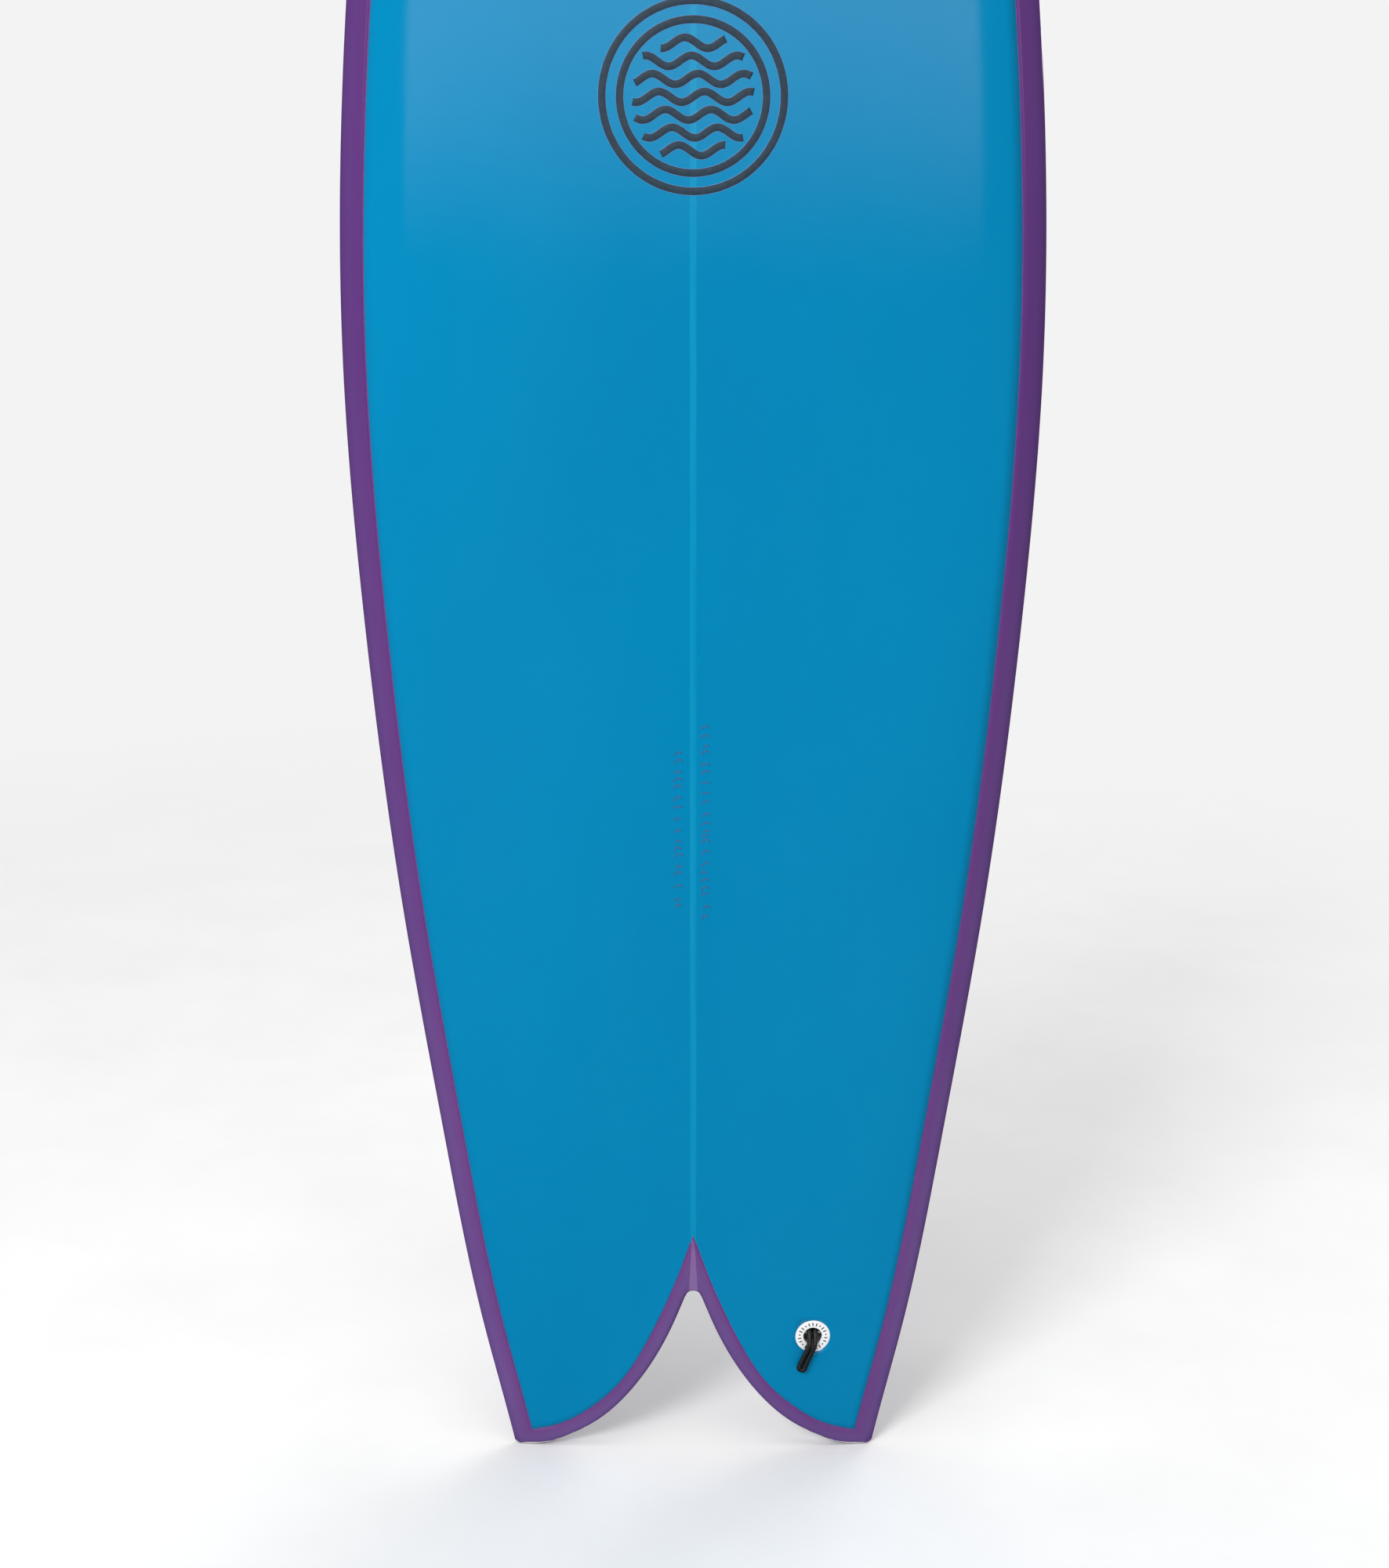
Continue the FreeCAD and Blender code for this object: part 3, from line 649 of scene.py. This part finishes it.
TICK = plain("ring_marks", rgb(16, 16, 18), rgb(40, 40, 44), 400.0, (0.4, 0.55), 0.00001)
STEEL = plain("stainless_steel", rgb(176, 178, 180), rgb(206, 207, 208), 500.0, (0.18, 0.36), 0.00001,
              (1, 1, 0.2), Metallic=1.0)
FOAM = plain("foam", rgb(232, 229, 220), rgb(243, 241, 234), 700.0, (0.75, 0.9), 0.0002)
WOOD = plain("stringer_wood", rgb(176, 138, 92), rgb(208, 172, 122), 90.0, (0.5, 0.7), 0.0001, (1, 1, 0.03))
FIN = fibreglass()
STRING = string_material()

# ---------------------------------------------------------------- glass skins
PLUG_X, PLUG_Z, PLUG_HOLE = 0.0975, 0.101, 0.0140
FIN_PLUG_HOLE = 0.0152
deck = Sheet(deck_y, 1, ROLL_DECK, DECK_ROLL_SHARE)
bottom = Sheet(bottom_y, -1, ROLL_BOTTOM, BOTTOM_ROLL_SHARE)


def inlay(row, column):
    """Whether a face of the deck belongs to the blue inlay."""
    return column < INLAY_COLUMNS and LAP_ROW <= row < TOP_ROW


def solid(obj):
    """Gives a skin its thickness, inwards."""
    thick = obj.modifiers.new("glass", "SOLIDIFY")
    thick.thickness = LAMINATE * 0.9
    thick.offset = -1
    thick.use_rim = True
    return obj


bm = bmesh.new()
deck.add_to(bm, inlay, lambda row, column: int(column == 0), [(PLUG_X, PLUG_Z, PLUG_HOLE)])
tidy(bm)
deck_glass = solid(piece("deck_glass", bm, [BLUE, STRIPE]))
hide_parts("deck_laminate")

fin_plugs = [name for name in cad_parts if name.startswith("fin_plug_")]
plug_holes = []
for name in sorted(fin_plugs):
    low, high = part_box(name)
    plug_holes.append(((low[0] + high[0]) / 2, (low[2] + high[2]) / 2 - RISE, FIN_PLUG_HOLE))
bm = bmesh.new()
deck.add_to(bm, lambda row, column: not inlay(row, column), lambda row, column: 0)
bottom.add_to(bm, lambda row, column: True, lambda row, column: 0, plug_holes)
add_wall(bm, deck, bottom)
tidy(bm)
bottom_glass = solid(piece("bottom_glass", bm, [PURPLE]))
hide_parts("bottom_laminate")

# ---------------------------------------------------------------- marks on the deck
bm = bmesh.new()
for side in (1, -1):
    rail = MAIN[1:TOP_ROW - LAP_ROW - 1, INLAY_COLUMNS]
    notch = MAIN[0, :INLAY_COLUMNS + 1]
    ribbon(bm, np.concatenate([notch[1:], rail]) * (side, 1), 0.0006, deck_y, 0.00006)
piece("lap_pinline", bm, [LAP_LINE])

# The badge: two rings round seven rows of waves, with a pale halo under each stroke.
BADGE_Z, BADGE_RADIUS, BADGE_STROKE, HALO = 1.069, 0.0640, 0.0031, 0.0006
RING_GAP, WAVE_GAP, WAVE_HEIGHT, WAVE_LENGTH, WAVE_MARGIN = 0.0125, 0.0120, 0.0036, 0.032, 0.009
bm = bmesh.new()
bm_edge = bmesh.new()
rings = [BADGE_RADIUS, BADGE_RADIUS - RING_GAP]
paths = []
for radius in rings:
    turn = np.linspace(0, 2 * math.pi, 121)[:-1]
    paths.append((np.stack([radius * np.cos(turn), radius * np.sin(turn)], 1), True))
inside_radius = rings[-1] - WAVE_MARGIN
for row in range(-3, 4):
    level = row * WAVE_GAP
    reach = math.sqrt(inside_radius ** 2 - level ** 2)
    across = np.linspace(-reach, reach, 61)
    wave = WAVE_HEIGHT * np.sin(across * 2 * math.pi / WAVE_LENGTH + row * 0.9)
    paths.append((np.stack([across, level + wave], 1), False))
for path, closed in paths:
    ribbon(bm, path + (0, BADGE_Z), BADGE_STROKE, deck_y, 0.00012, closed=closed)
    ribbon(bm_edge, path + (0, BADGE_Z), BADGE_STROKE + HALO, deck_y, 0.00004, closed=closed)
piece("badge", bm, [INK])
piece("badge_halo", bm_edge, [INK_EDGE])

# Faint pencil marks beside the stringer: plain measuring strokes that spell nothing.
bm = bmesh.new()
dice = np.random.default_rng(5)
for column_x, low, high in ((-0.0115, 0.470, 0.598), (0.0095, 0.461, 0.613)):
    z = low
    while z < high:
        tall = dice.uniform(0.003, 0.0075)
        lean = dice.uniform(-0.0012, 0.0012)
        middle = column_x + dice.uniform(-0.0008, 0.0008)
        across = dice.uniform(0.0022, 0.0036)
        points = [(middle - across, z), (middle + lean, z + tall * 0.5), (middle + across, z + tall * 0.2)]
        ribbon(bm, cubic(points, samples=7), 0.0005, deck_y, 0.00005)
        z += tall * 0.6 + dice.uniform(0.0012, 0.0075)
piece("pencil_strokes", bm, [PENCIL])

# ---------------------------------------------------------------- leash plug
plug_frame = surface_frame(PLUG_X, PLUG_Z, deck_y, -1)
bm = bmesh.new()
lathe(bm, [(r * MM, level * MM) for r, level in (
    (0.0, -18.2), (13.9, -18.2), (14.3, -17.8), (14.3, -0.6), (14.2, -0.1), (13.8, 0.22), (13.2, 0.3),
    (8.4, 0.3), (7.9, 0.18), (7.55, -0.2), (7.5, -0.7), (7.5, -3.9), (9.0, -4.1), (9.0, -16.0), (8.4, -16.6),
    (0.0, -16.6),
)], plug_frame, 72)
tidy(bm)
cup = piece("plug_cup", bm, [WHITE])
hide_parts("leash_plug_cup")

# Printed marks round the plug's face: two strokes and a dot, over and over.
MARKS, MARK_RADIUS, MARK_TOP, MARK_DEPTH = 22, 0.0108, 0.00036, 0.0001
STROKE_SIZE, DOT_SIZE = (0.0027, 0.0009), (0.0011, 0.0011)
bm = bmesh.new()
for i in range(MARKS):
    turn = Matrix.Rotation(2 * math.pi * i / MARKS, 4, "Z")
    place = plug_frame @ turn @ Matrix.Translation((0, MARK_RADIUS, 0))
    length, thick = DOT_SIZE if i % 3 == 2 else STROKE_SIZE
    a, b = thick / 2, length / 2
    corners = [(-a, -b), (a, -b), (a, b), (-a, b)]
    top = [bm.verts.new(place @ Vector((x, y, MARK_TOP))) for x, y in corners]
    low = [bm.verts.new(place @ Vector((x, y, MARK_TOP - MARK_DEPTH))) for x, y in corners]
    bm.faces.new(top)
    bm.faces.new(low[::-1])
    for j in range(4):
        k = (j + 1) % 4
        bm.faces.new([low[j], low[k], top[k], top[j]])
piece("plug_ring_marks", bm, [TICK], rounded=False)

# ---------------------------------------------------------------- leash string
CORD = 0.0042
CORD_ROUTE = (
    (-2.3, -4.6, -11.9), (-2.3, 4.4, -11.9), (-2.3, 4.4, -2.4), (-2.7, -5.6, 3.6), (-5.5, -11.9, 3.7),
    (-7.7, -17.4, 3.4), (-10.2, -23.2, 3.2), (-11.8, -27.9, 3.1),
    (-7.0, -29.5, 3.1), (-5.4, -23.6, 3.2), (-2.9, -17.4, 3.4), (-0.7, -11.8, 3.7), (2.0, -5.4, 3.6),
    (2.3, 4.4, -2.4), (2.3, 4.4, -11.9), (2.3, -4.6, -11.9),
)
curve = bpy.data.curves.new("leash_loop", "CURVE")
curve.dimensions = "3D"
curve.bevel_depth = CORD / 2
curve.bevel_resolution = 4
curve.resolution_u = 10
spline = curve.splines.new("NURBS")
spline.points.add(len(CORD_ROUTE) - 1)
route = [plug_frame @ (Vector(point) * MM) for point in CORD_ROUTE]
for control, point in zip(spline.points, route):
    control.co = (*point, 1)
spline.order_u = 3
spline.use_endpoint_u = True
curve.materials.append(STRING)
loop = link(bpy.data.objects.new("leash_loop", curve))
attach(loop, "board")
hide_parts("leash_string")

# ---------------------------------------------------------------- finishes of the CAD nodes
FINISHES = {
    "foam_blank": FOAM, "stringer": WOOD, "leash_plug_pin": STEEL, "leash_string_knot": STRING,
    "fin_plug": WHITE, "fin_screw": STEEL, "fin_left": FIN, "fin_right": FIN,
}
for name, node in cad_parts.items():
    for start, finish in FINISHES.items():
        if name.startswith(start):
            for slot in node.material_slots:
                slot.material = finish

# ---------------------------------------------------------------- floor, lights and camera
BACKGROUND = rgb(243, 243, 244)
floor_nodes = Nodes("floor_paint", Specular_IOR_Level=0.1)
dirt = floor_nodes.noise(5.0, 5.0, 0.6)
patches = floor_nodes.remap(dirt, 0.3, 0.7, 0.0, 1.0)
floor_nodes.colour(floor_nodes.mix(patches, rgb(245, 245, 245), rgb(250, 250, 250)))
floor_nodes.roughness(floor_nodes.remap(dirt, 0.3, 0.7, 0.6, 0.75))
where = floor_nodes.node("ShaderNodeTexCoord").outputs["Object"]
spread = floor_nodes.node("ShaderNodeVectorMath", {"operation": "LENGTH"}, i0=where).outputs["Value"]
fade = floor_nodes.node("ShaderNodeMapRange", {"interpolation_type": "SMOOTHSTEP"}, i0=spread, i1=0.7, i2=2.8)
far_off = floor_nodes.node("ShaderNodeEmission", Color=BACKGROUND)
blend = floor_nodes.node("ShaderNodeMixShader", i0=fade.outputs[0], i1=floor_nodes.shader.outputs[0],
                         i2=far_off.outputs[0])
floor_nodes.tree.links.new(blend.outputs[0], floor_nodes.tree.nodes["Material Output"].inputs[0])
bm = bmesh.new()
bmesh.ops.create_grid(bm, x_segments=24, y_segments=24, size=30.0)
mesh = bpy.data.meshes.new("floor")
bm.to_mesh(mesh)
bm.free()
mesh.materials.append(floor_nodes.material)
floor = link(bpy.data.objects.new("floor", mesh))
floor.location.z = -0.0002
floor.visible_glossy = False

# A wide pale card in front of the deck that only its gloss sees, brighter towards its top.
card_nodes = Nodes("haze_card")
card_fade = card_nodes.node("ShaderNodeMapRange", {"interpolation_type": "SMOOTHSTEP"}, i0=card_nodes.axis(2),
                            i1=0.55, i2=1.25, i3=0.0, i4=2.2)
glow = card_nodes.node("ShaderNodeEmission", Color=(1, 1, 1, 1), Strength=card_fade.outputs[0])
card_nodes.tree.links.new(glow.outputs[0], card_nodes.tree.nodes["Material Output"].inputs[0])
bm = bmesh.new()
bm.faces.new([bm.verts.new(p) for p in ((-2.9, -5, 0.5), (2.9, -5, 0.5), (2.9, -5, 2.4), (-2.9, -5, 2.4))])
mesh = bpy.data.meshes.new("haze_card")
bm.to_mesh(mesh)
bm.free()
mesh.materials.append(card_nodes.material)
card = link(bpy.data.objects.new("haze_card", mesh))
card.visible_camera = False
card.visible_diffuse = False
card.visible_shadow = False


def area_light(name, place, target, size, energy, colour=(1, 1, 1)):
    data = bpy.data.lights.new(name, "AREA")
    data.shape = "RECTANGLE"
    data.size, data.size_y = size
    data.energy = energy
    data.color = colour
    light = link(bpy.data.objects.new(name, data))
    light.location = place
    light.rotation_euler = (Vector(target) - Vector(place)).to_track_quat("-Z", "Y").to_euler()
    light.visible_camera = False
    return light


area_light("key", (-1.7, -3.2, 2.9), (0, 0, 0.7), (1.5, 1.5), 104)
area_light("overhead", (-0.4, -0.3, 4.2), (0, 0, 0), (3.0, 3.0), 50)
area_light("back_fill", (2.4, 3.4, 2.6), (0, 0, 0.8), (2.6, 2.6), 60)

world = bpy.data.worlds.new("studio")
world.use_nodes = True
tree = world.node_tree
tree.nodes.clear()
ray = tree.nodes.new("ShaderNodeLightPath")


def sky(colour, strength):
    made = tree.nodes.new("ShaderNodeBackground")
    made.inputs["Color"].default_value = colour
    made.inputs["Strength"].default_value = strength
    return made.outputs[0]


def choose(test, otherwise, wanted):
    made = tree.nodes.new("ShaderNodeMixShader")
    for socket, value in zip(made.inputs, (ray.outputs[test], otherwise, wanted)):
        tree.links.new(value, socket)
    return made.outputs[0]


lit = choose("Is Glossy Ray", sky((1, 1, 1, 1), 0.46), sky((1, 1, 1, 1), 0.07))
shown = choose("Is Camera Ray", lit, sky(BACKGROUND, 1.0))
tree.links.new(shown, tree.nodes.new("ShaderNodeOutputWorld").inputs[0])
bpy.context.scene.world = world
bpy.context.scene.view_settings.view_transform = "Standard"

camera = link(bpy.data.objects.new("camera", bpy.data.cameras.new("camera")))
camera.location = (0.001, -1.710, 1.018)
camera.rotation_euler = (math.radians(90 - 15.12), 0, 0)
camera.data.sensor_width = 36
camera.data.lens = 51.95
bpy.context.scene.camera = camera
